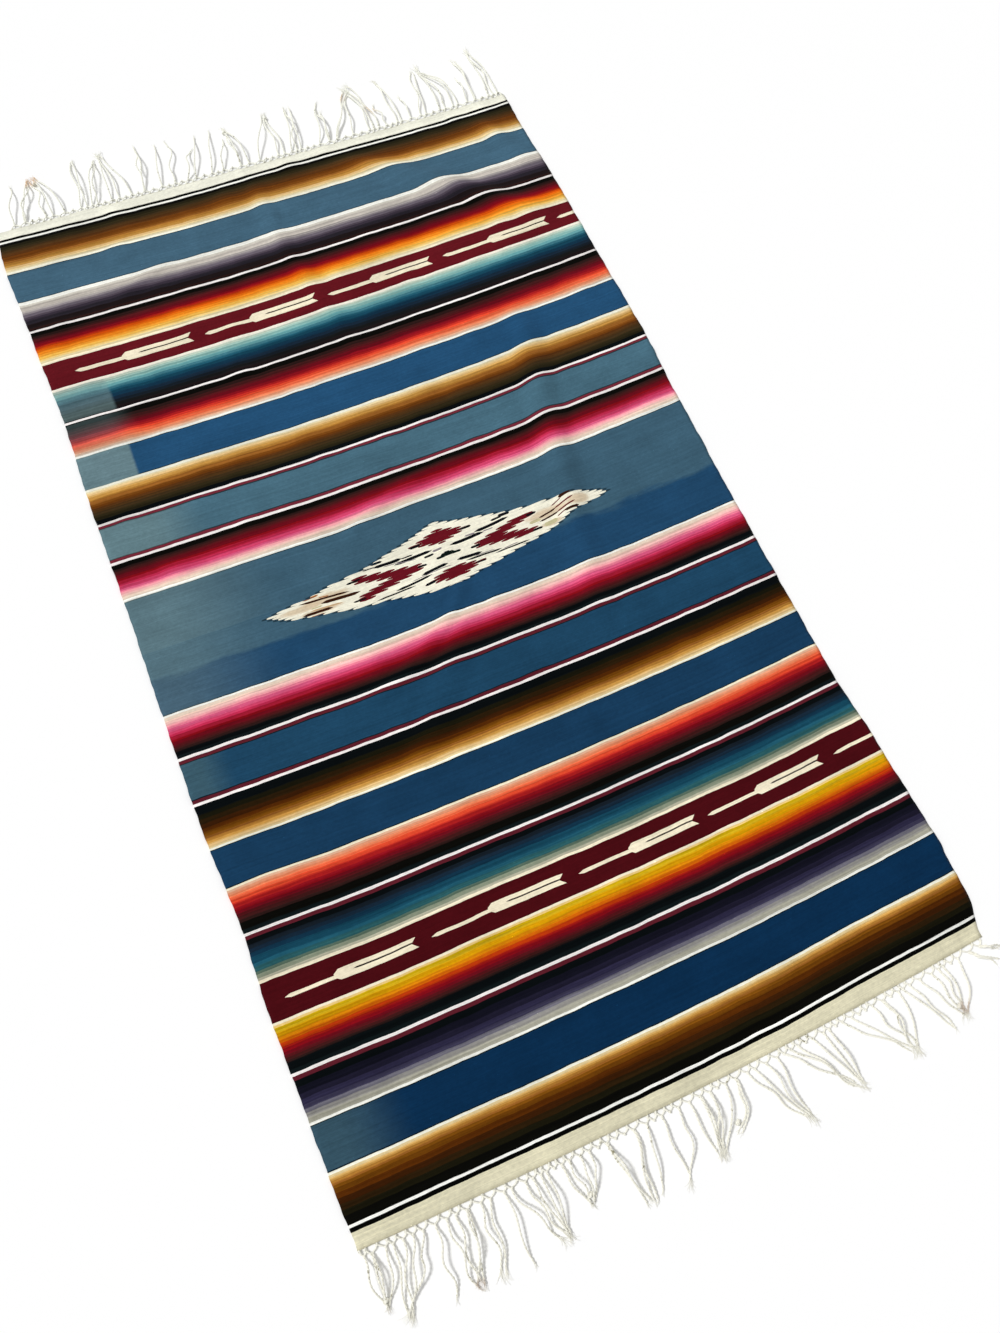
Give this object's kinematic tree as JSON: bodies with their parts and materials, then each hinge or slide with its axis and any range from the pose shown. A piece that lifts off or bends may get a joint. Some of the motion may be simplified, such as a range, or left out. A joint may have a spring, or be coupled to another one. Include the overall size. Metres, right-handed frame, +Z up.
{
  "type": "serape",
  "caption": "Handwoven striped serape laid flat: one weft-faced web with shaded bands, feathered arrows, a serrated centre lozenge and a knotted fringe at each end.",
  "frame": {"origin": "centre of the serape's footprint on the surface it lies on", "axes": "+X across the cloth, +Y along it from the near end to the far end, +Z up out of the surface"},
  "size_m": [0.815, 1.6238, 0.0109],
  "materials": {
    "weft_wool": "matt weft-faced wool weave in blue, black, cream and shaded colour bands, with a light nap",
    "knotted_warp": "matt cream cotton warp ends knotted into a small net",
    "fringe_cord": "matt cream cotton cords, hard twisted, with frayed tips"
  },
  "bodies": {
    "root": {"web": "weft_wool", "knot_row_far": "knotted_warp", "knot_row_near": "knotted_warp", "fringe_far": "fringe_cord", "fringe_near": "fringe_cord"}
  },
  "joints": []
}
